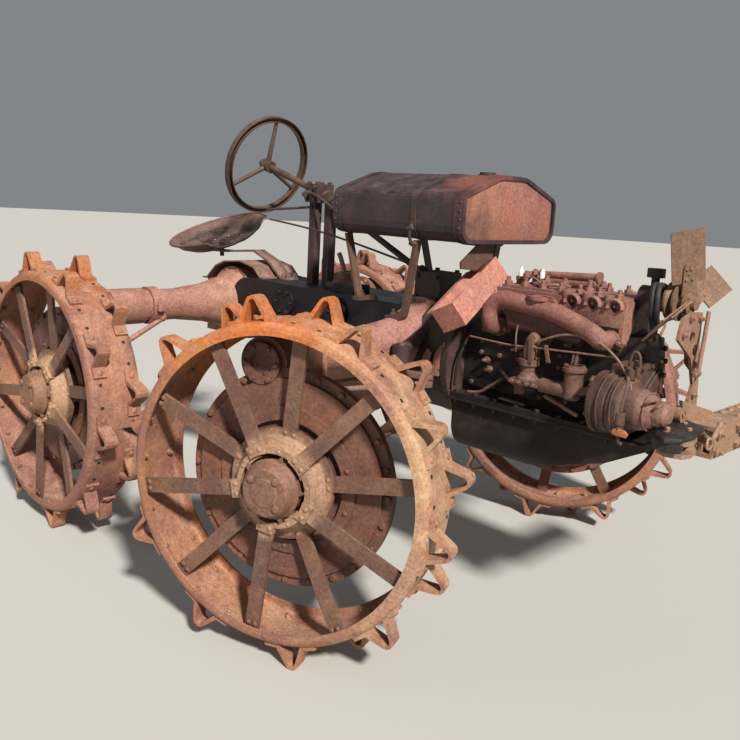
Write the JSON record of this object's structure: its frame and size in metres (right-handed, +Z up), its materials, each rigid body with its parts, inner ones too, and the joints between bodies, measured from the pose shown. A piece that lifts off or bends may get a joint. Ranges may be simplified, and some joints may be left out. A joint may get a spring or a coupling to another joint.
{
  "type": "four-wheel-drive farm tractor",
  "caption": "Old four-wheel-drive farm tractor on steel lug wheels, stripped of hood and radiator, with open engine, fuel tank, dished seat and linked steering",
  "frame": {"origin": "middle of the base of the bounding box, on the ground", "axes": "X forward, Y to the left, Z up; the front wheels are stored steered to the left as in the picture"},
  "size_m": [2.8818, 2.2588, 1.7021],
  "materials": {
    "dark_iron": "dark brown rust and old grease, rough",
    "rusted_iron": "brown to pinkish rust, rough",
    "rusted_rim": "orange-brown rust, dry and rough",
    "rusted_steel": "brown rust, rough",
    "tank_paint": "dark red-brown rust with worn orange paint at the ends",
    "box_paint": "faded red paint, dusty"
  },
  "bodies": {
    "chassis": {"frame_trough": "dark_iron", "front_bolster": "rusted_steel", "clutch_housing": "dark_iron", "engine_block": "dark_iron", "cylinder_head": "dark_iron", "exhaust_manifold": "rusted_iron", "carburetor": "rusted_iron", "accessory_drive": "rusted_iron", "fan_bracket": "rusted_steel", "front_plate": "rusted_steel", "engine_pipes": "rusted_steel", "front_axle": "rusted_iron", "transmission": "dark_iron", "rear_axle": "rusted_iron", "rear_case_right": "rusted_iron", "rear_case_left": "rusted_iron", "fuel_tank": "tank_paint", "tank_strap": "rusted_steel", "tank_legs": "rusted_steel", "tool_box": "box_paint", "box_bracket": "rusted_steel", "steering_column": "rusted_steel", "steering_gear": "rusted_iron", "seat": "rusted_steel", "seat_spring": "rusted_steel", "rear_cover": "rusted_steel", "drawbar": "rusted_steel"},
    "knuckle_right": {"knuckle_right": "rusted_iron"},
    "knuckle_left": {"knuckle_left": "rusted_iron"},
    "tie_rod": {"tie_rod": "rusted_steel"},
    "drag_link": {"drag_link": "rusted_steel"},
    "steering_arm": {"steering_arm": "rusted_steel"},
    "steering_wheel": {"steering_wheel": "rusted_steel"},
    "steering_shaft": {"steering_shaft": "rusted_steel"},
    "fan": {"fan": "rusted_steel"},
    "wheel_front_right": {"rim_front_right": "rusted_rim", "spokes_front_right": "rusted_iron", "cap_front_right": "rusted_iron"},
    "wheel_front_left": {"rim_front_left": "rusted_rim", "spokes_front_left": "rusted_iron", "cap_front_left": "rusted_iron"},
    "wheel_rear_right": {"rim_rear_right": "rusted_rim", "spokes_rear_right": "rusted_iron", "cap_rear_right": "rusted_iron"},
    "wheel_rear_left": {"rim_rear_left": "rusted_rim", "spokes_rear_left": "rusted_iron", "cap_rear_left": "rusted_iron"}
  },
  "joints": [
    {"name": "steer_right", "type": "hinge", "parent": "chassis", "child": "knuckle_right", "pos_m": [0.34737, -0.72649, 0.88975], "axis": [0, 0, 1], "range_deg": [-51.4, 8.6]},
    {"name": "steer_left", "type": "hinge", "parent": "chassis", "child": "knuckle_left", "pos_m": [0.34737, 0.65351, 0.88975], "axis": [0, 0, 1], "range_deg": [-51.4, 8.6]},
    {"name": "tie_rod_pivot", "type": "hinge", "parent": "knuckle_right", "child": "tie_rod", "pos_m": [0.22634, -0.77392, 0.73975], "axis": [0, 0, 1], "range_deg": [-8.6, 51.4]},
    {"name": "drag_link_pivot", "type": "hinge", "parent": "knuckle_right", "child": "drag_link", "pos_m": [0.44048, -0.69, 0.78975], "axis": [0, 0, 1], "range_deg": [-8.6, 51.4]},
    {"name": "steering_arm_pivot", "type": "hinge", "parent": "chassis", "child": "steering_arm", "pos_m": [0.45937, -0.33649, 0.81175], "axis": [0, 0, 1], "range_deg": [-51.4, 8.6]},
    {"name": "steering_wheel_turn", "type": "hinge", "parent": "chassis", "child": "steering_wheel", "pos_m": [-0.67263, -0.03649, 1.49475], "axis": [-0.9578, 0, 0.2874], "range_deg": [-411.2, 68.8]},
    {"name": "steering_shaft_turn", "type": "hinge", "parent": "chassis", "child": "steering_shaft", "pos_m": [-0.24863, -0.03649, 1.35575], "axis": [-0.9109, 0, 0.4127], "range_deg": [-411.2, 68.8]},
    {"name": "fan_spin", "type": "hinge", "parent": "chassis", "child": "fan", "pos_m": [1.28437, -0.03649, 1.13775], "axis": [1, 0, 0], "continuous": true},
    {"name": "spin_front_right", "type": "hinge", "parent": "knuckle_right", "child": "wheel_front_right", "pos_m": [0.50251, -0.84828, 0.54975], "axis": [-0.3649, 0.9311, 0], "continuous": true},
    {"name": "spin_front_left", "type": "hinge", "parent": "knuckle_left", "child": "wheel_front_left", "pos_m": [0.37845, 0.84828, 0.54975], "axis": [-0.3649, 0.9311, 0], "continuous": true},
    {"name": "spin_rear_right", "type": "hinge", "parent": "chassis", "child": "wheel_rear_right", "pos_m": [-0.89263, -0.89649, 0.54975], "axis": [0, 1, 0], "continuous": true},
    {"name": "spin_rear_left", "type": "hinge", "parent": "chassis", "child": "wheel_rear_left", "pos_m": [-0.89263, 0.82351, 0.54975], "axis": [0, 1, 0], "continuous": true}
  ],
  "couplings": [
    {"joint": "steer_left", "follows": "steer_right", "ratio": 1},
    {"joint": "tie_rod_pivot", "follows": "steer_right", "ratio": -1},
    {"joint": "drag_link_pivot", "follows": "steer_right", "ratio": -1},
    {"joint": "steering_arm_pivot", "follows": "steer_right", "ratio": 1},
    {"joint": "steering_wheel_turn", "follows": "steer_right", "ratio": 8},
    {"joint": "steering_shaft_turn", "follows": "steer_right", "ratio": 8}
  ]
}
